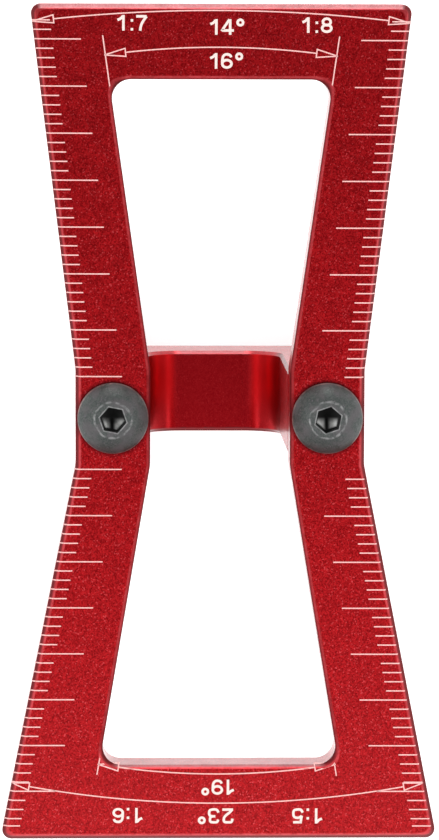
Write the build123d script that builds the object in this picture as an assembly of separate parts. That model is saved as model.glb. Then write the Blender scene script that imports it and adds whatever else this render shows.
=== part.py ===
from build123d import *
import math
import os

# A marking template for dovetail joints: a flat hourglass ring of aluminium plate, whose four
# slanted edge pairs give the slopes 1:8, 1:7, 1:5 and 1:6, and a U-shaped fence bracket that two
# button-head screws hold square behind its waist. Everything is in millimetres.
# The origin lies under the middle of the bracket, on the surface that the template rests on.
# X runs across the waist, Y from the lower end to the upper end, and Z up through the plate.

# Plate: its two halves are measured from the line through both screws.
plate_thickness = 5.0
upper_reach = 44.2
lower_reach = 45.8
waist_width = 31.0
waist_height = 10.2
waist_bar = 8.0
upper_bar = 8.0
lower_bar = 8.1
upper_outer_run = 8.0
upper_inner_run = 7.0
lower_outer_run = 5.0
lower_inner_run = 6.0
outer_corner_radius = 1.0
window_corner_radius = 2.0
kink_radius = 4.0
outer_chamfer = 0.5
window_chamfer = 0.4

# Fence bracket: as wide as the waist, with legs as wide as the sides of the waist.
bracket_height = 9.1
leg_depth = 24.0
web_thickness = 7.0
gap_corner_radius = 4.0
back_corner_radius = 1.0
bracket_chamfer = 0.35

# Button-head screws with a hexagon socket
thread_diameter = 4.0
screw_length = 14.0
tip_chamfer = 0.5
head_diameter = 7.6
head_height = 2.2
head_rim = 0.4
head_flat_diameter = 3.9
socket_width = 2.5
socket_depth = 1.5
socket_point_angle = 120.0
left_screw_turn = 49.0
right_screw_turn = 19.0

# Clearances and the blind holes
plate_hole_clearance = 0.15
thread_clearance = 0.05
hole_beyond_screw = 2.0
drill_point_angle = 118.0

# Places that follow from the sizes above
screw_x = (waist_width - waist_bar) / 2
leg_gap = waist_width - 2 * waist_bar
plate_back_z = web_thickness + leg_depth
plate_face_z = plate_back_z + plate_thickness
thread_radius = thread_diameter / 2

# Cylinders and cones start at their base and stand on the middle of it.
on_base = (Align.CENTER, Align.CENTER, Align.MIN)


def hourglass(half_waist, upper_run, lower_run, upper_end, lower_end, end_radius):
    """Closed outline that widens from a straight waist by 1 in each run towards both ends."""
    half_height = waist_height / 2
    upper_half = half_waist + (upper_end - half_height) / upper_run
    lower_half = half_waist + (lower_end - half_height) / lower_run
    right = [(lower_half, -lower_end), (half_waist, -half_height),
             (half_waist, half_height), (upper_half, upper_end)]
    left = [(-x, y) for x, y in reversed(right)]
    outline = Polygon(*right, *left, align=None)
    ends = [v for v in outline.vertices() if abs(v.Y) > half_height + kink_radius]
    outline = fillet(ends, end_radius)
    kinks = [v for v in outline.vertices() if abs(abs(v.Y) - half_height) < 0.001]
    return fillet(kinks, kink_radius)


def rim_edges(solid, inner):
    """Edges round the window, or round the outside, on the front and the back face."""
    faces = solid.faces().sort_by(Axis.Z)
    edges = []
    for face in (faces[0], faces[-1]):
        wires = face.inner_wires() if inner else [face.outer_wire()]
        for wire in wires:
            edges.extend(wire.edges())
    return edges


def make_template_plate():
    """One ring of plate with bevelled rims and a screw hole through each side of the waist."""
    outside = hourglass(waist_width / 2, upper_outer_run, lower_outer_run, upper_reach, lower_reach,
                        outer_corner_radius)
    window = hourglass(waist_width / 2 - waist_bar, upper_inner_run, lower_inner_run,
                       upper_reach - upper_bar, lower_reach - lower_bar, window_corner_radius)
    plate = extrude(outside, plate_thickness)
    plate = chamfer(rim_edges(plate, inner=False), outer_chamfer)
    plate -= extrude(window, plate_thickness)
    plate = chamfer(rim_edges(plate, inner=True), window_chamfer)
    hole = Cylinder(thread_radius + plate_hole_clearance, plate_thickness, align=on_base)
    plate -= Pos(-screw_x, 0, 0) * hole
    plate -= Pos(screw_x, 0, 0) * hole
    return Pos(0, 0, plate_back_z) * plate


def u_section():
    """Section of the bracket seen along Y, with its back on the ground and its legs upwards."""
    upward = (Align.CENTER, Align.MIN)
    block = Plane.XZ * Rectangle(waist_width, plate_back_z, align=upward)
    back = [v for v in block.vertices() if v.Z < web_thickness / 2]
    block = fillet(back, back_corner_radius)
    gap = Plane.XZ * Pos(0, web_thickness) * Rectangle(leg_gap, leg_depth, align=upward)
    floor = [v for v in gap.vertices() if v.Z < web_thickness + leg_depth / 2]
    gap = fillet(floor, gap_corner_radius)
    return block - gap


def blind_hole():
    """Tapped hole with its drill point, whose mouth is at Z = 0."""
    radius = thread_radius + thread_clearance
    depth = screw_length - plate_thickness + hole_beyond_screw
    point = radius / math.tan(math.radians(drill_point_angle / 2))
    bore = Cylinder(radius, depth, align=on_base)
    tip = Cone(radius, 0, point, rotation=(180, 0, 0), align=on_base)
    return Pos(0, 0, -depth) * (bore + tip)


def make_fence_bracket():
    """U-shaped block: two legs that the screws enter, joined by a web with hollow-round corners."""
    bracket = extrude(u_section(), bracket_height / 2, both=True)
    sides = bracket.faces().sort_by(Axis.Y)
    edges = list(sides[0].edges()) + list(sides[-1].edges())
    across = bracket.edges().filter_by(Axis.Y)
    edges += [e for e in across if e.center().Z > plate_back_z - bracket_chamfer]
    bracket = chamfer(edges, bracket_chamfer)
    hole = blind_hole()
    bracket -= Pos(-screw_x, 0, plate_back_z) * hole
    bracket -= Pos(screw_x, 0, plate_back_z) * hole
    return bracket


def screw_profile():
    """Half section of the screw in XZ: the shank below Z = 0, the domed head above it."""
    rim = head_diameter / 2
    flat = head_flat_diameter / 2
    # The dome is part of a ball that passes through the rim and through the edge of the flat.
    dome_height = head_height - head_rim
    centre = (head_height + head_rim - (rim ** 2 - flat ** 2) / dome_height) / 2
    ball = math.hypot(rim, head_rim - centre)
    middle_angle = (math.atan2(head_rim - centre, rim) + math.atan2(head_height - centre, flat)) / 2
    on_dome = (ball * math.cos(middle_angle), centre + ball * math.sin(middle_angle))
    tip = thread_radius - tip_chamfer
    tip_top = tip_chamfer - screw_length
    lower = Polyline((flat, head_height), (0, head_height), (0, -screw_length), (tip, -screw_length),
                     (thread_radius, tip_top), (thread_radius, 0), (rim, 0), (rim, head_rim))
    dome = ThreePointArc((rim, head_rim), on_dome, (flat, head_height))
    return Plane.XZ * make_face(lower + dome)


def make_screw(turn):
    """Button-head screw with its seat at Z = 0 and a corner of its socket turned from +X."""
    body = revolve(screw_profile(), Axis.Z)
    corner = socket_width / math.sqrt(3)
    point = corner / math.tan(math.radians(socket_point_angle / 2))
    hexagon = RegularPolygon(corner, 6, rotation=turn)
    walls = extrude(hexagon, socket_depth)
    tip = extrude(hexagon, -point) & Cone(corner, 0, point, rotation=(180, 0, 0), align=on_base)
    return body - Pos(0, 0, head_height - socket_depth) * (walls + tip)


def place_screw(side, turn):
    """Seats one screw on the plate's face, on the left (-1) or the right (1) of the waist."""
    return Pos(side * screw_x, 0, plate_face_z) * make_screw(turn)


nodes = {
    "template_plate": make_template_plate(),
    "fence_bracket": make_fence_bracket(),
    "screw_left": place_screw(-1, left_screw_turn),
    "screw_right": place_screw(1, right_screw_turn),
}

os.makedirs("parts", exist_ok=True)
for name, shape in nodes.items():
    export_step(shape, f"parts/{name}.step")
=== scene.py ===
import math

import bpy
import numpy as np
from mathutils import Matrix, Vector


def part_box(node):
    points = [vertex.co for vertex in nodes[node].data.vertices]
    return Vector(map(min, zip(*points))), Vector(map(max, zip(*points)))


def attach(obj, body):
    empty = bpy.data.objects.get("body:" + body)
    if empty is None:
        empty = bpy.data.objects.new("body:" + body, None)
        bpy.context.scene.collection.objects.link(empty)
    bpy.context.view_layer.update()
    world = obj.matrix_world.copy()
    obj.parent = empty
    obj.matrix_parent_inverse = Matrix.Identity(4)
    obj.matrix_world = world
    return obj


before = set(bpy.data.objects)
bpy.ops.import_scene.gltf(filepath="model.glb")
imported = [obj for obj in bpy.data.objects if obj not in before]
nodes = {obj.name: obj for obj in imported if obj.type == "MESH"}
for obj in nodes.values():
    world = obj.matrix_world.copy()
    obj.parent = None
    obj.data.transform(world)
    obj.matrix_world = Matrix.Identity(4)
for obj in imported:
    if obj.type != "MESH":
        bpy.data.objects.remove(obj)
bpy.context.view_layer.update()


# Fence bracket: a U-shaped block of aluminium that stands behind the waist, with two legs that carry
# the plate and a web between them. It is bead-blasted and anodised red, and the web is milled smooth
# between the legs. The sizes of the pieces are in mm, and those of grain and bumps in metres.
bracket = nodes["fence_bracket"]
bracket_side, bracket_bevel = 4.55, 0.35
web_face = 7.0
half_gap = 7.5
half_web_flat = 3.5
metal_grain = 0.00013
far_from_bevel = 10.0


def calc(tree, operation, *values):
    """One Math node: numbers are typed in and sockets are linked."""
    node = tree.nodes.new("ShaderNodeMath")
    node.operation = operation
    for socket, value in zip(node.inputs, values):
        if isinstance(value, bpy.types.NodeSocket):
            tree.links.new(value, socket)
        else:
            socket.default_value = value
    return node.outputs[0]


def product(tree, first, *others):
    """Several values multiplied together."""
    for other in others:
        first = calc(tree, "MULTIPLY", first, other)
    return first


def ramp(tree, value, start, end, low=0.0, high=1.0):
    """Smooth step of a value: low up to start, high from end."""
    node = tree.nodes.new("ShaderNodeMapRange")
    node.interpolation_type = "SMOOTHSTEP"
    for name, number in (("From Min", start), ("From Max", end), ("To Min", low), ("To Max", high)):
        node.inputs[name].default_value = number
    tree.links.new(value, node.inputs["Value"])
    return node.outputs["Result"]


def blend(tree, factor, first, second):
    """Colour between two: colours are typed in and sockets are linked."""
    node = tree.nodes.new("ShaderNodeMix")
    node.data_type = "RGBA"
    tree.links.new(factor, node.inputs["Factor"])
    for name, colour in (("A", first), ("B", second)):
        if isinstance(colour, bpy.types.NodeSocket):
            tree.links.new(colour, node.inputs[name])
        else:
            node.inputs[name].default_value = (*colour, 1.0)
    return node.outputs["Result"]


def axes_of(tree, vector):
    """The X, Y and Z of a vector."""
    node = tree.nodes.new("ShaderNodeSeparateXYZ")
    tree.links.new(vector, node.inputs[0])
    return node.outputs["X"], node.outputs["Y"], node.outputs["Z"]


def in_millimetres(tree, place):
    """The X, Y and Z of a place on the piece, in mm."""
    node = tree.nodes.new("ShaderNodeVectorMath")
    node.operation = "SCALE"
    node.inputs["Scale"].default_value = 1000.0
    tree.links.new(place, node.inputs[0])
    return axes_of(tree, node.outputs[0])


def new_group(name, inputs, outputs):
    """An empty node group with named inputs, each with its starting value, and named outputs."""
    group = bpy.data.node_groups.new(name, "ShaderNodeTree")
    for label, kind, value in inputs:
        socket = group.interface.new_socket(label, in_out="INPUT", socket_type="NodeSocket" + kind)
        if value is not None:
            socket.default_value = value
    for label in outputs:
        group.interface.new_socket(label, in_out="OUTPUT", socket_type="NodeSocketFloat")
    given = group.nodes.new("NodeGroupInput").outputs
    result = group.nodes.new("NodeGroupOutput").inputs
    return group, given, result


def blasted_grain_group():
    """Bead-blasted metal: soft dents, crystals that each catch the light a little differently, a few of
    which sparkle, and clouds of about 1.4 mm."""
    group, given, result = new_group("blasted_grain",
                                     [("Vector", "Vector", None), ("Grain size", "Float", metal_grain)],
                                     ("Height", "Crystal", "Sparkle", "Cloud"))
    link = group.links.new
    dents = group.nodes.new("ShaderNodeTexNoise")
    dents.inputs["Detail"].default_value = 2.0
    dents.inputs["Roughness"].default_value = 0.6
    crystals = group.nodes.new("ShaderNodeTexVoronoi")
    cloud = group.nodes.new("ShaderNodeTexNoise")
    cloud.inputs["Scale"].default_value = 700.0
    cloud.inputs["Detail"].default_value = 3.0
    for texture in (dents, crystals, cloud):
        link(given["Vector"], texture.inputs["Vector"])
    scale = calc(group, "DIVIDE", 1.0, given["Grain size"])
    for texture in (dents, crystals):
        link(scale, texture.inputs["Scale"])
    channels = group.nodes.new("ShaderNodeSeparateColor")
    link(crystals.outputs["Color"], channels.inputs[0])
    link(dents.outputs["Fac"], result["Height"])
    link(channels.outputs[1], result["Crystal"])
    link(ramp(group, channels.outputs[0], 0.90, 1.0), result["Sparkle"])
    link(cloud.outputs["Fac"], result["Cloud"])
    return group


def edge_wear_and_highlight_group():
    """Bright line along an edge: a painted highlight on the bevels and round the screws' sockets, a painted
    reflection along the screws' rims, and rubbed skin round the screws' flats. It is strongest where the
    distance from the edge is 0, ends at the width on both sides, and is uneven along its length."""
    group, given, result = new_group("edge_wear_and_highlight",
                                     [("Vector", "Vector", None), ("Distance", "Float", 0.0),
                                      ("Width", "Float", 0.15), ("Least", "Float", 0.4)], ("Worn",))
    away = calc(group, "DIVIDE", calc(group, "ABSOLUTE", given["Distance"]), given["Width"])
    uneven = group.nodes.new("ShaderNodeTexNoise")
    uneven.inputs["Scale"].default_value = 1600.0
    uneven.inputs["Detail"].default_value = 3.0
    group.links.new(given["Vector"], uneven.inputs["Vector"])
    strength = calc(group, "MULTIPLY_ADD", ramp(group, uneven.outputs["Fac"], 0.35, 0.65),
                    calc(group, "SUBTRACT", 1.0, given["Least"]), given["Least"])
    group.links.new(product(group, ramp(group, away, 1.0, 0.2), strength), result["Worn"])
    return group


blasted_grain = blasted_grain_group()
edge_wear_and_highlight = edge_wear_and_highlight_group()


def add_group(tree, group, place, **values):
    """Puts a node group in a material, with the place on the piece and its own values."""
    node = tree.nodes.new("ShaderNodeGroup")
    node.node_tree = group
    tree.links.new(place, node.inputs["Vector"])
    for name, value in values.items():
        socket = node.inputs[name.replace("_", " ")]
        if isinstance(value, bpy.types.NodeSocket):
            tree.links.new(value, socket)
        else:
            socket.default_value = value
    return node.outputs


def new_material(name, plain_values):
    """A material with these plain values on its shader: gives the material, its tree and its shader."""
    material = bpy.data.materials.new(name)
    material.use_nodes = True
    shader = material.node_tree.nodes["Principled BSDF"]
    for label, value in plain_values.items():
        shader.inputs[label].default_value = value
    return material, material.node_tree, shader


def add_bump(tree, shader, height, depth):
    """Shades the surface as if it rose by the height times the depth."""
    bump = tree.nodes.new("ShaderNodeBump")
    bump.inputs["Distance"].default_value = depth
    tree.links.new(height, bump.inputs["Height"])
    tree.links.new(bump.outputs["Normal"], shader.inputs["Normal"])


def anodised_metal(name, colours, roughness, grain_depth, coat_index, past_bevel, touch_up):
    """Aluminium with a dyed oxide skin: a metal whose colour changes from grain to grain, under a thin
    clear skin. The bevels differ from the faces, with a painted highlight along the line where they meet
    and painted shade on their outer rim, and those that face the upper end are paler with a painted
    highlight, as if the low lamp beyond the upper end lit them.
    past_bevel gives the distance in mm from the highlighted line, below 0 on the bevel. touch_up changes
    the skin where the piece differs from this."""
    material, tree, shader = new_material(name, {"Metallic": 1.0, "Coat Weight": 1.0,
                                                 "Coat Roughness": 0.2, "Coat IOR": coat_index})
    coordinates = tree.nodes.new("ShaderNodeTexCoord").outputs
    place = coordinates["Object"]
    grain = add_group(tree, blasted_grain, place, Grain_size=metal_grain)
    distance = past_bevel(tree, place)
    on_bevel = ramp(tree, distance, 0.02, -0.10)
    # Painted shade on the outer rim of each bevel, and a painted highlight along the line where bevel and
    # face meet.
    rim_shade = ramp(tree, distance, -0.13, -0.28, 0.0, 0.75)
    edge_line = add_group(tree, edge_wear_and_highlight, place, Distance=distance, Width=0.17, Least=0.45)["Worn"]
    # Painted highlight: bevels that face the upper end are paler, as if the low lamp beyond it lit them.
    to_upper_end = ramp(tree, axes_of(tree, coordinates["Normal"])[1], 0.62, 0.70)
    painted_upper_highlight = product(tree, on_bevel, ramp(tree, grain["Crystal"], 0.0, 1.0, 0.6, 1.0), to_upper_end)
    tone = blend(tree, grain["Crystal"], colours["dark"], colours["light"])
    for factor, layer in ((grain["Sparkle"], "sparkle"), (product(tree, on_bevel, 0.8), "bevel"),
                          (rim_shade, "rim"), (edge_line, "edge_line"), (painted_upper_highlight, "painted_upper_highlight")):
        tone = blend(tree, factor, tone, colours[layer])
    finish = ramp(tree, grain["Cloud"], 0.2, 0.8, roughness - 0.04, roughness + 0.04)
    skin = {"grain": grain, "distance": distance, "painted_upper_highlight": painted_upper_highlight, "tone": tone, "finish": finish}
    touch_up(tree, place, skin)
    tree.links.new(skin["tone"], shader.inputs["Base Color"])
    tree.links.new(skin["finish"], shader.inputs["Roughness"])
    add_bump(tree, shader, grain["Height"], grain_depth)
    return material


def dress(part, material):
    """Gives a whole CAD piece one material."""
    part.data.materials.clear()
    part.data.materials.append(material)


def past_side_bevel(tree, place):
    """Distance in mm from the inner line of the bevels along the bracket's two sides. The sides
    themselves count as far from it, so that they look as the other faces do."""
    sideways = calc(tree, "ABSOLUTE", in_millimetres(tree, place)[1])
    on_side = ramp(tree, sideways, bracket_side - 0.02, bracket_side - 0.005, 0.0, far_from_bevel)
    return calc(tree, "ADD", calc(tree, "SUBTRACT", bracket_side - bracket_bevel, sideways), on_side)


def mill_web(tree, place, skin):
    """The web and its bevels are smooth between the legs, with a painted highlight in the hollow corners,
    stronger towards the upper end, and a brighter, redder painted highlight on the bevel round them that
    faces the upper end. All other faces have bright coarse crystals."""
    x, y, z = in_millimetres(tree, place)
    across = calc(tree, "ABSOLUTE", x)
    sideways = calc(tree, "ABSOLUTE", y)
    low = ramp(tree, z, web_face + 5.0, web_face + 2.0)
    between_legs = ramp(tree, across, half_gap + 2.5, half_gap + 0.5)
    off_sides = ramp(tree, sideways, bracket_side - 0.01, bracket_side - 0.05)
    milled = product(tree, between_legs, off_sides, low, ramp(tree, z, web_face - 0.8, web_face - 0.4))
    rest = calc(tree, "SUBTRACT", bracket_milling["roughness"], skin["finish"])
    skin["finish"] = calc(tree, "MULTIPLY_ADD", milled, rest, skin["finish"])

    on_face = ramp(tree, skin["distance"], -0.04, 0.02)
    # Painted highlight in the hollow corners, stronger towards the upper end, and on the bevel round them
    # that faces the upper end.
    hollow = product(tree, ramp(tree, across, half_web_flat + 0.3, half_web_flat + 1.9),
                     ramp(tree, across, half_gap + 0.4, half_gap - 0.9),
                     ramp(tree, y, -4.5, 1.0, 0.15, 1.0), milled, on_face)
    round_hollow = product(tree, ramp(tree, across, half_web_flat - 0.1, half_web_flat + 0.7),
                           ramp(tree, across, half_gap + 0.1, half_gap - 0.5), skin["painted_upper_highlight"], low)
    coarse = product(tree, calc(tree, "SUBTRACT", 1.0, milled), ramp(tree, skin["distance"], 0.0, 0.05),
                     ramp(tree, skin["grain"]["Crystal"], 0.35, 0.95, 0.0, 0.6))
    for factor, layer in ((hollow, "hollow"), (round_hollow, "round_hollow"), (coarse, "coarse")):
        skin["tone"] = blend(tree, factor, skin["tone"], bracket_milling[layer])


# On the bevels, the dark rim colour is painted shade, the colour along their inner line a painted highlight,
# and the pale colour of those that face the upper end a painted highlight.
bracket_colours = {"dark": (0.29, 0.001, 0.005), "light": (0.38, 0.006, 0.010),
                   "sparkle": (0.41, 0.011, 0.016), "bevel": (0.11, 0.010, 0.011),
                   "rim": (0.10, 0.007, 0.009), "edge_line": (0.20, 0.020, 0.024), "painted_upper_highlight": (0.15, 0.046, 0.050)}
# The colours of the hollow corners and of the bevel round them are painted highlights.
bracket_milling = {"roughness": 0.28, "hollow": (0.97, 0.035, 0.045),
                   "round_hollow": (0.46, 0.055, 0.062), "coarse": (0.70, 0.080, 0.100)}
dress(bracket, anodised_metal("bracket_anodised_red", bracket_colours, roughness=0.50, grain_depth=0.000003,
                              coat_index=1.14, past_bevel=past_side_bevel, touch_up=mill_web))


# Template plate: one ring of 5 mm aluminium plate, cut and bevelled in one piece, bead-blasted and
# anodised red. It lies on the bracket's legs, and its slanted edges guide the pencil. Each pair of
# runs is that of the upper half and of the lower half: an edge leans out by 1 in each run.
plate = nodes["template_plate"]
plate_low, plate_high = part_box("template_plate")
face = plate_high.z * 1000
half_thickness = (plate_high.z - plate_low.z) * 500
upper_reach, lower_reach = plate_high.y * 1000, -plate_low.y * 1000
upper_bar, lower_bar = 8.0, 8.1
half_waist, half_window, half_straight = 15.5, 7.5, 5.1
outer_runs, window_runs = (8.0, 5.0), (7.0, 6.0)
outer_bevel, window_bevel = 0.5, 0.4
# How far inside the rim and outside the window's edge the painted highlight line lies.
outer_highlight_inset, window_highlight_inset = 0.5, 0.28
outer_corner, window_corner = 1.0, 2.0
screw_x = (half_waist + half_window) / 2
head_radius = 3.8


def past_plate_bevel(tree, place):
    """Distance in mm from the line along the nearest bevel where its painted highlight lies: the least of
    the distances from the two slanted sides and the two ends, where the corners are rounded by a smooth
    minimum.
    The upright walls count as far from it, so that they look as the faces do."""
    x, y, z = in_millimetres(tree, place)
    across = calc(tree, "ABSOLUTE", x)
    upper = calc(tree, "MAXIMUM", calc(tree, "SUBTRACT", y, half_straight), 0.0)
    lower = calc(tree, "MAXIMUM", calc(tree, "SUBTRACT", -half_straight, y), 0.0)

    def inside(half_width, runs, top, bottom, rounding):
        widened = calc(tree, "MULTIPLY_ADD", lower, 1 / runs[1], half_width)
        widened = calc(tree, "MULTIPLY_ADD", upper, 1 / runs[0], widened)
        side = calc(tree, "SUBTRACT", widened, across)
        end = calc(tree, "MINIMUM", calc(tree, "SUBTRACT", top, y), calc(tree, "ADD", y, bottom))
        return calc(tree, "SMOOTH_MIN", side, end, rounding)

    from_rim = inside(half_waist, outer_runs, upper_reach, lower_reach, 1.8)
    in_window = inside(half_window, window_runs, upper_reach - upper_bar, lower_reach - lower_bar, 3.5)
    nearest = calc(tree, "MINIMUM", calc(tree, "SUBTRACT", from_rim, outer_highlight_inset),
                   calc(tree, "SUBTRACT", -window_highlight_inset, in_window))
    from_middle = calc(tree, "ABSOLUTE", calc(tree, "SUBTRACT", z, face - half_thickness))
    half_wall = half_thickness - outer_bevel
    on_wall = ramp(tree, from_middle, half_wall + 0.02, half_wall - 0.04, 0.0, far_from_bevel)
    return calc(tree, "ADD", nearest, on_wall)


def paint_shade_round_heads(tree, place, skin):
    """Painted shade on the plate round the two screw heads, darkest next to them."""
    x, y, _ = in_millimetres(tree, place)
    sideways = calc(tree, "SUBTRACT", calc(tree, "ABSOLUTE", x), screw_x)
    radius = calc(tree, "SQRT", calc(tree, "MULTIPLY_ADD", sideways, sideways, product(tree, y, y)))
    # Painted shade, fading out 0.6 mm beyond the head's rim.
    head_shade = ramp(tree, radius, head_radius + 0.6, head_radius - 0.1, 0.0, 0.75)
    skin["tone"] = blend(tree, head_shade, skin["tone"], plate_colours["head_shade"])


# On the bevels, the dark rim colour is painted shade, the colour along their inner line a painted highlight,
# and the pale colour of those that face the upper end a painted highlight.
plate_colours = {"dark": (0.20, 0.0002, 0.002), "light": (0.47, 0.009, 0.013),
                 "sparkle": (0.56, 0.042, 0.050), "bevel": (0.35, 0.030, 0.036),
                 "rim": (0.09, 0.009, 0.011), "edge_line": (0.58, 0.057, 0.067), "painted_upper_highlight": (0.25, 0.100, 0.106),
                 # The last colour is painted shade round the screw heads.
                 "head_shade": (0.05, 0.001, 0.003)}
dress(plate, anodised_metal("plate_anodised_red", plate_colours, roughness=0.38, grain_depth=0.000004,
                            coat_index=1.17, past_bevel=past_plate_bevel, touch_up=paint_shade_round_heads))


# Markings: millimetre lines along the four slanted edges, slope numbers and angle arcs, which a laser
# has bleached into the red skin. The whole print sits a little to the left and towards the lower end,
# and is turned a little.
mark_width, letter_stroke = 0.13, 0.27
mark_rise, mark_sink, layer_rise = 0.010, 0.05, 0.002
print_shift, print_turn = (-0.15, -0.57), 0.0028
first_line = 5.0
long_line, short_line = 5.1, 2.05
upper_long_lines = (5, 11, 16, 21, 26, 31, 36)
lower_long_lines = (5, 10, 15, 20, 25, 30, 35)
last_lower_line = 38.8
slope_line_inset = 0.1
letter_height, letter_gap = 1.65, 0.28
longest_step = 0.08
mitre_floor = 0.35
height_over_bevel, inside_rim = 0.02, 0.03


def rounded_corner(across, along, radius):
    """Distance outside two edges that meet in a round corner: negative inside."""
    across, along = across + radius, along + radius
    outside = np.hypot(np.maximum(across, 0), np.maximum(along, 0))
    return outside + np.minimum(np.maximum(across, along), 0) - radius


def plate_drop(x, y):
    """How far the bevels lie under the face: the bevel's width minus the distance from the rim, and a
    little less, so that the print stays above the metal."""
    upper = y > 0
    past_straight = np.maximum(np.abs(y) - half_straight, 0)

    def past_edge(half_width, runs, top, bottom, corner):
        run = np.where(upper, *runs)
        side = (np.abs(x) - half_width - past_straight / run) * run / np.hypot(run, 1)
        return rounded_corner(side, np.abs(y) - np.where(upper, top, bottom), corner)

    from_rim = -past_edge(half_waist, outer_runs, upper_reach, lower_reach, outer_corner)
    from_window = past_edge(half_window, window_runs, upper_reach - upper_bar, lower_reach - lower_bar,
                            window_corner)
    return (np.clip(outer_bevel - height_over_bevel - from_rim, 0, outer_bevel)
            + np.clip(window_bevel - height_over_bevel - from_window, 0, window_bevel))


def on_plate(points):
    """Moves points of the print to the plate: turned a little, then shifted."""
    x, y = points[:, 0], points[:, 1]
    return np.stack([x + print_turn * y + print_shift[0], y - print_turn * x + print_shift[1]], 1)


def keep_on_plate(points):
    """Pulls points back to just inside the outermost rim where the print would pass it."""
    x, y = points[:, 0], points[:, 1]
    rim = half_waist + np.maximum(np.abs(y) - half_straight, 0) / np.where(y > 0, *outer_runs) - inside_rim
    return np.stack([np.clip(x, -rim, rim), y], 1)


def divided(points, closed):
    """The same line with more points: an edge of length s gets s / longest_step equal steps, rounded up."""
    loop = np.vstack([points, points[:1]]) if closed else points
    steps = np.ceil(np.linalg.norm(np.diff(loop, axis=0), axis=1) / longest_step).astype(int)
    first = np.repeat(np.cumsum(steps) - steps, steps)
    place = np.repeat(np.arange(len(steps)), steps)
    place = place + (np.arange(steps.sum()) - first) / np.repeat(steps, steps)
    place = place if closed else np.append(place, len(steps))
    return np.stack([np.interp(place, np.arange(len(loop)), loop[:, axis]) for axis in (0, 1)], 1)


def ribbon(points, width, closed=False, layer=0):
    """A thin closed strip along a line: each point p gives p + m w/2 and p - m w/2, where m is the mitre
    of the two neighbouring normals, kept short at sharp corners. The section is draped on the plate,
    from face - drop - sink up to face - drop + rise, and each layer lies a little higher, because
    strokes cross."""
    points = divided(points, closed)
    if closed:
        ahead = np.roll(points, -1, 0) - points
        before = np.roll(ahead, 1, 0)
    else:
        ahead = np.diff(points, axis=0)
        before = np.vstack([ahead[:1], ahead])
        ahead = np.vstack([ahead, ahead[-1:]])
    ahead /= np.linalg.norm(ahead, axis=1, keepdims=True)
    before /= np.linalg.norm(before, axis=1, keepdims=True)
    normals = np.stack([-ahead[:, 1] - before[:, 1], ahead[:, 0] + before[:, 0]], 1)
    mitre = normals / np.maximum(1 + np.sum(ahead * before, axis=1, keepdims=True), mitre_floor)
    sides = np.stack([points + mitre * width / 2, points - mitre * width / 2], 1)
    base = face - plate_drop(sides[..., 0], sides[..., 1])
    top = np.concatenate([sides, (base + mark_rise + layer_rise * layer)[..., None]], 2)
    low = np.concatenate([sides, (base - mark_sink)[..., None]], 2)
    vertices = np.concatenate([top, low[:, ::-1]], 1)
    index = np.arange(len(points) * 4).reshape(-1, 4)
    here, there = (index, np.roll(index, -1, 0)) if closed else (index[:-1], index[1:])
    quads = np.stack([here, np.roll(here, -1, 1), np.roll(there, -1, 1), there], 2).reshape(-1, 4)
    if not closed:
        quads = np.vstack([quads, index[0][[0, 3, 2, 1]], index[-1]])
    return vertices.reshape(-1, 3), quads


def straight(points):
    """Stroke of straight lines: gives its points, and that it is open."""
    return np.array(points), False


def curved(points, rounds=3):
    """Open stroke whose corners are cut again and again: each edge gives points at 1/4 and 3/4 of it."""
    points = np.array(points, float)
    for _ in range(rounds):
        starts, ends = points[:-1], points[1:]
        cut = np.stack([0.75 * starts + 0.25 * ends, 0.25 * starts + 0.75 * ends], 1).reshape(-1, 2)
        points = np.vstack([points[:1], cut, points[-1:]])
    return points, False


def ring(x, y, across, along):
    """Closed stroke: an ellipse round (x, y)."""
    angle = np.linspace(0, 2 * math.pi, 32, endpoint=False)
    return np.stack([x + across * np.cos(angle), y + along * np.sin(angle)], 1), True


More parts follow.
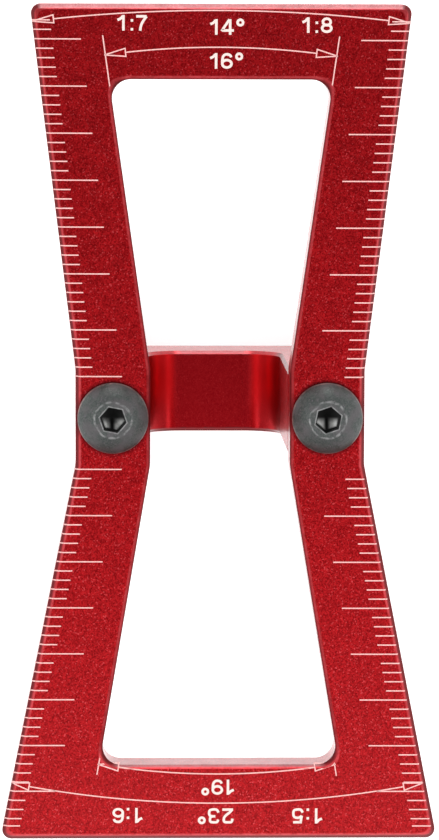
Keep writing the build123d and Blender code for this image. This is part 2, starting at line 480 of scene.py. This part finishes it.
# Each letter has its width and its strokes.
six = [(0.135, 0.52), (0.14, 0.95), (0.20, 1.30), (0.42, 1.52), (0.72, 1.54), (1.00, 1.44), (1.08, 1.22)]
letters = {
    "1": (0.93, [curved([(0.06, 1.12), (0.40, 1.26), (0.60, 1.53)], rounds=2),
                 straight([(0.69, 0.0), (0.69, 1.65)])]),
    "2": (1.25, [curved([(0.15, 1.13), (0.20, 1.52), (0.62, 1.53), (1.08, 1.50), (1.08, 1.02),
                         (0.80, 0.70), (0.40, 0.42), (0.20, 0.135)]),
                 straight([(0.08, 0.135), (1.24, 0.135)])]),
    "3": (1.25, [curved([(0.16, 1.22), (0.24, 1.52), (0.62, 1.53), (1.04, 1.50), (1.04, 0.98),
                         (0.80, 0.87), (0.46, 0.87)]),
                 curved([(0.46, 0.87), (0.85, 0.87), (1.14, 0.75), (1.13, 0.25), (0.90, 0.12),
                         (0.30, 0.10), (0.12, 0.46)])]),
    "4": (1.35, [straight([(0.86, 1.62), (0.12, 0.50), (0.20, 0.46), (1.34, 0.46)]),
                 straight([(0.95, 0.0), (0.95, 1.65)])]),
    "5": (1.25, [straight([(1.14, 1.515), (0.34, 1.515), (0.22, 0.80)]),
                 curved([(0.22, 0.80), (0.45, 1.02), (0.85, 1.04), (1.13, 0.85), (1.13, 0.25),
                         (0.85, 0.12), (0.30, 0.10), (0.12, 0.46)])]),
    "6": (1.25, [curved(six), ring(0.625, 0.53, 0.49, 0.395)]),
    "7": (1.25, [straight([(0.02, 1.515), (1.12, 1.515)]),
                 curved([(1.12, 1.515), (0.72, 1.0), (0.50, 0.5), (0.44, 0.0)])]),
    "8": (1.25, [ring(0.625, 1.17, 0.41, 0.345), ring(0.625, 0.50, 0.49, 0.365)]),
    "9": (1.25, [curved([(1.25 - x, 1.65 - y) for x, y in six]), ring(0.625, 1.12, 0.49, 0.395)]),
    ":": (0.54, [straight([(0.25, 0.14), (0.52, 0.14)]), straight([(0.25, 1.08), (0.52, 1.08)])]),
    "o": (0.80, [ring(0.40, 1.31, 0.29, 0.29)]),
}


def word(text, centre, upside_down=False):
    """Lines of a word whose middle is at centre, turned half round for the lower end."""
    start = -(sum(letters[letter][0] + letter_gap for letter in text) - letter_gap) / 2
    lines = []
    for letter in text:
        width, strokes = letters[letter]
        for layer, (stroke, closed) in enumerate(strokes):
            placed = stroke + (start, -letter_height / 2)
            placed = -placed if upside_down else placed
            lines.append((on_plate(placed + centre), letter_stroke, closed, layer))
        start += width + letter_gap
    return lines


def millimetre_lines(side, end, numbers, long_numbers):
    """Lines that start on the slanted edge, 1 mm apart, and run inwards."""
    sign, run = (1, outer_runs[0]) if end == "upper" else (-1, outer_runs[1])
    lines = []
    for number in numbers:
        rim = half_waist + number / run
        length = long_line if number in long_numbers else short_line
        across = side * np.linspace(rim - length, rim, 16)
        along = np.full_like(across, sign * (first_line + number))
        lines.append((keep_on_plate(on_plate(np.stack([across, along], 1))), mark_width, False))
    return lines


def angle_arc(centre_y, radius, run, sign, head_length, head_width):
    """Arc between the two lines of a slope, with a hollow arrowhead at each end."""
    end = math.atan(1 / run)
    turn = head_length / radius
    along = np.linspace(-end + turn, end - turn, 48)
    arc = np.stack([radius * np.sin(along), centre_y + sign * radius * np.cos(along)], 1)
    lines = [(on_plate(arc), mark_width, False)]
    for side in (-1, 1):
        corners = [(end, 0), (end - turn, head_width / 2), (end - turn, -head_width / 2)]
        head = [(side * (radius + out) * math.sin(angle), centre_y + sign * (radius + out) * math.cos(angle))
                for angle, out in corners]
        lines.append((keep_on_plate(on_plate(np.array(head))), mark_width, True, 1))
    return lines


def slope_line(side, sign, run, first, last):
    """Short line that carries a window edge's slope on past the window's corner."""
    along = np.linspace(first, last, 24)
    across = side * (half_window - slope_line_inset + (along - first_line) / run)
    return (on_plate(np.stack([across, sign * along], 1)), mark_width, False)


lines = millimetre_lines(-1, "upper", range(39), (0,) + upper_long_lines)
lines += millimetre_lines(1, "upper", range(39), upper_long_lines)
lines += millimetre_lines(-1, "lower", [*range(39), last_lower_line], (0,) + lower_long_lines)
lines += millimetre_lines(1, "lower", [*range(1, 39), last_lower_line], lower_long_lines)
lines += angle_arc(centre_y=-118.5, radius=162.6, run=8.0, sign=1, head_length=2.35, head_width=0.85)
lines += angle_arc(centre_y=-47.5, radius=87.7, run=7.0, sign=1, head_length=2.25, head_width=0.85)
lines += angle_arc(centre_y=40.0, radius=78.1, run=6.0, sign=-1, head_length=2.25, head_width=0.80)
lines += angle_arc(centre_y=72.5, radius=113.8, run=5.0, sign=-1, head_length=2.1, head_width=0.80)
lines += [slope_line(side, 1, window_runs[0], 35.4, 41.4) for side in (-1, 1)]
lines += [slope_line(-1, -1, window_runs[1], 35.5, 38.2), slope_line(1, -1, window_runs[1], 36.1, 38.3)]
lines += word("1:7", (-9.45, 42.74))
lines += word("14o", (0.6, 42.35))
lines += word("1:8", (10.2, 42.6))
lines += word("16o", (0.55, 38.75))
lines += word("19o", (0.15, -39.55), upside_down=True)
lines += word("23o", (-0.05, -42.7), upside_down=True)
lines += word("1:6", (-9.6, -42.65), upside_down=True)
lines += word("1:5", (9.85, -42.7), upside_down=True)

ribbons = [ribbon(*line) for line in lines]
counts = [len(vertices) for vertices, _ in ribbons]
firsts = np.cumsum([0] + counts[:-1])
mark_vertices = np.vstack([vertices for vertices, _ in ribbons]) / 1000
mark_quads = np.vstack([quads + first for (_, quads), first in zip(ribbons, firsts)])
bleached = np.repeat([width / letter_stroke for _, width, *_ in lines], counts)
marks_mesh = bpy.data.meshes.new("plate_markings")
marks_mesh.from_pydata(mark_vertices.tolist(), [], mark_quads.tolist())
marks_mesh.attributes.new("bleached", "FLOAT", "POINT").data.foreach_set("value", bleached)


def bleached_skin():
    """Matt white with a slightly uneven tone, as a laser leaves it, and pink where the line is fine.
    The attribute bleached is a line's width as a share of a letter's."""
    material, tree, shader = new_material("laser_bleached_white", {"Roughness": 0.7})
    place = tree.nodes.new("ShaderNodeTexCoord").outputs["Object"]
    crystal = add_group(tree, blasted_grain, place, Grain_size=0.0001)["Crystal"]
    white = blend(tree, crystal, (0.85, 0.69, 0.64), (0.92, 0.77, 0.72))
    pink = blend(tree, crystal, (0.90, 0.42, 0.40), (0.96, 0.60, 0.57))
    line_width = tree.nodes.new("ShaderNodeAttribute")
    line_width.attribute_name = "bleached"
    broad = ramp(tree, line_width.outputs["Fac"], 0.5, 1.0)
    tree.links.new(blend(tree, broad, pink, white), shader.inputs["Base Color"])
    return material


def add_to_scene(name, data):
    """A new object of this name at the origin, which holds a mesh, a lamp or a camera."""
    thing = bpy.data.objects.new(name, data)
    bpy.context.scene.collection.objects.link(thing)
    return thing


marks_mesh.materials.append(bleached_skin())
marks = add_to_scene("plate_markings", marks_mesh)
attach(marks, "root")


# Screws: two button heads with a hexagon socket, steel with a dark oxide skin, which hold the plate
# on the bracket's legs. Painted shade fills the sockets, with painted reflections of their bottoms in the
# lower halves, and a painted highlight runs round their edges.
head_flat_radius, half_socket = 1.95, 1.25
screw_grain = 0.00014
# Of these colours, the pinkish rim colour is a painted reflection, the grey round the socket a painted
# highlight, the near-black socket colour painted shade, and the near-white colour inside the socket a
# painted reflection.
oxide = {"dark": (0.064, 0.074, 0.070), "light": (0.104, 0.112, 0.108), "cloud": (0.145, 0.130, 0.138),
         "sparkle": (0.13, 0.12, 0.13), "worn_flat": (0.27, 0.27, 0.27), "painted_rim_reflection": (0.30, 0.20, 0.19),
         "painted_socket_highlight": (0.30, 0.30, 0.30), "socket": (0.02, 0.02, 0.02), "painted_socket_reflection": (0.95, 0.95, 0.93)}


def oxide_steel(name, centre_x, socket_turn):
    """Dark grey oxide skin on steel, uneven in tone, with a rubbed line round the flat, a painted reflection
    along the rim and a painted highlight round the socket, one corner of which is turned from the right by
    socket_turn degrees. The distance from the socket is that from a hexagon: the greater of |u| and
    |u|/2 + |v| sin 60."""
    material, tree, shader = new_material(name, {"Metallic": 0.9})
    place = tree.nodes.new("ShaderNodeTexCoord").outputs["Object"]

    def seen_from_axis(turn):
        """X and Y in mm from the screw's axis, turned by some degrees."""
        centred = tree.nodes.new("ShaderNodeMapping")
        centred.vector_type = "TEXTURE"
        centred.inputs["Location"].default_value = (centre_x / 1000, 0.0, 0.0)
        centred.inputs["Rotation"].default_value = (0.0, 0.0, math.radians(turn))
        centred.inputs["Scale"].default_value = (0.001, 0.001, 0.001)
        tree.links.new(place, centred.inputs["Vector"])
        return axes_of(tree, centred.outputs[0])[:2]

    x, y = seen_from_axis(0.0)
    u, v = (calc(tree, "ABSOLUTE", axis) for axis in seen_from_axis(socket_turn + 30.0))
    radius = calc(tree, "SQRT", calc(tree, "MULTIPLY_ADD", x, x, product(tree, y, y)))
    slanted = calc(tree, "MULTIPLY_ADD", v, math.sin(math.pi / 3), product(tree, u, 0.5))
    from_socket = calc(tree, "SUBTRACT", calc(tree, "MAXIMUM", u, slanted), half_socket)

    grain = add_group(tree, blasted_grain, place, Grain_size=screw_grain)
    tone = blend(tree, grain["Crystal"], oxide["dark"], oxide["light"])
    tone = blend(tree, ramp(tree, grain["Cloud"], 0.42, 0.66, 0.0, 0.6), tone, oxide["cloud"])
    tone = blend(tree, grain["Sparkle"], tone, oxide["sparkle"])
    wobble = product(tree, calc(tree, "SUBTRACT", grain["Cloud"], 0.5), 0.55)
    past_flat = calc(tree, "SUBTRACT", calc(tree, "ADD", radius, wobble), head_flat_radius)
    past_rim = calc(tree, "SUBTRACT", radius, head_radius - 0.04)
    past_socket = calc(tree, "SUBTRACT", from_socket, 0.08)
    # A rubbed line round the flat, a painted reflection of the plate along the rim, and a painted highlight
    # round the socket's edge.
    for distance, width, least, layer in ((past_flat, 0.17, 0.0, "worn_flat"),
                                          (past_rim, 0.09, 0.2, "painted_rim_reflection"),
                                          (past_socket, 0.09, 0.3, "painted_socket_highlight")):
        edge_line = add_group(tree, edge_wear_and_highlight, place, Distance=distance, Width=width, Least=least)["Worn"]
        tone = blend(tree, edge_line, tone, oxide[layer])
    # Painted shade fills the socket.
    tone = blend(tree, ramp(tree, from_socket, 0.02, -0.02), tone, oxide["socket"])
    # Painted reflections of the socket's bottom, in its lower half and off its middle.
    off_middle = ramp(tree, calc(tree, "ABSOLUTE", calc(tree, "ADD", x, 0.1)), 0.05, 0.45)
    painted_socket_reflection = product(tree, ramp(tree, y, 0.20, -0.60), ramp(tree, from_socket, -0.08, -0.30),
                        off_middle, ramp(tree, grain["Cloud"], 0.25, 0.7, 0.3, 1.0))
    tone = blend(tree, painted_socket_reflection, tone, oxide["painted_socket_reflection"])
    tree.links.new(tone, shader.inputs["Base Color"])
    tree.links.new(ramp(tree, grain["Cloud"], 0.2, 0.8, 0.42, 0.62), shader.inputs["Roughness"])
    add_bump(tree, shader, grain["Height"], 0.000003)
    return material


dress(nodes["screw_left"], oxide_steel("screw_left_dark_oxide", -screw_x, socket_turn=49.0))
dress(nodes["screw_right"], oxide_steel("screw_right_dark_oxide", screw_x, socket_turn=19.0))


# Floor: a plain white sheet under the template, which still takes its soft shadow. It lies 0.05 mm
# under the bracket's back, so that the two surfaces don't fall together. From here on sizes are in
# metres.
floor_half, floor_z, floor_glow = 1.5, -0.00005, 0.55


def white_sheet():
    """Matt white that is helped up to full white where the camera or the metal sees it."""
    white = (1.0, 1.0, 1.0, 1.0)
    material, tree, shader = new_material("floor_white", {"Base Color": (0.9, 0.9, 0.9, 1.0),
                                                          "Roughness": 0.9, "Emission Color": white})
    rays = tree.nodes.new("ShaderNodeLightPath").outputs
    seen = calc(tree, "MAXIMUM", rays["Is Camera Ray"], rays["Is Glossy Ray"])
    seen = calc(tree, "MAXIMUM", seen, rays["Is Transmission Ray"])
    tree.links.new(product(tree, seen, floor_glow), shader.inputs["Emission Strength"])
    return material


floor_mesh = bpy.data.meshes.new("floor")
corners = [(x * floor_half, y * floor_half, floor_z) for x, y in ((-1, -1), (1, -1), (1, 1), (-1, 1))]
floor_mesh.from_pydata(corners, [], [(0, 1, 2, 3)])
floor_mesh.materials.append(white_sheet())
floor = add_to_scene("floor", floor_mesh)


# Light: a white room that is darker overhead, one broad lamp above the lower end, a low lamp beyond
# the upper end for the bevels, and a high lamp on each side.
scene = bpy.context.scene
scene.view_settings.view_transform = "Standard"
world = bpy.data.worlds.new("white_room")
scene.world = world
world.use_nodes = True
sky = world.node_tree
background = sky.nodes["Background"]
background.inputs["Color"].default_value = (1.0, 1.0, 1.0, 1.0)
upwards = axes_of(sky, sky.nodes.new("ShaderNodeTexCoord").outputs["Generated"])[2]
sky.links.new(ramp(sky, upwards, 0.25, 0.90, 1.0, 0.32), background.inputs["Strength"])
middle = Vector((0.0, 0.0, 0.03))


def lamp(name, place, size, brightness):
    """A soft box that shines on the middle: its watts are pi times its area times its brightness."""
    light = bpy.data.lights.new(name, "AREA")
    light.shape = "RECTANGLE"
    light.size, light.size_y = size
    light.energy = math.pi * size[0] * size[1] * brightness
    box = add_to_scene(name, light)
    box.location = place
    box.rotation_euler = (middle - Vector(place)).to_track_quat("-Z", "Y").to_euler()
    box.visible_camera = False


lamp("overhead", (0.0, -0.34, 0.75), size=(0.7, 0.36), brightness=2.2)
lamp("upper_end", (0.02, 0.75, 0.10), size=(0.22, 0.11), brightness=12.0)
lamp("left_high", (-0.44, 0.0, 0.55), size=(0.7, 0.22), brightness=3.2)
lamp("right_high", (0.44, 0.0, 0.55), size=(0.7, 0.22), brightness=3.2)


# Camera: it looks down on the template from half a metre above the marked face. It stands a little
# towards the upper end and the left, and is turned a few degrees back towards the middle.
camera_x, camera_y, camera_above_face = -0.01595, 0.0532, 0.5
camera_data = bpy.data.cameras.new("camera")
camera_data.lens = 201.17
camera_data.clip_start = 0.01
camera = add_to_scene("camera", camera_data)
camera_turn = Matrix.Identity(4)
for degrees, axis in ((-1.818, "Y"), (-6.094, "X"), (0.198, "Z")):
    camera_turn = camera_turn @ Matrix.Rotation(math.radians(degrees), 4, axis)
camera_place = Vector((camera_x, camera_y, plate_high.z + camera_above_face))
camera.matrix_world = Matrix.Translation(camera_place) @ camera_turn
scene.camera = camera
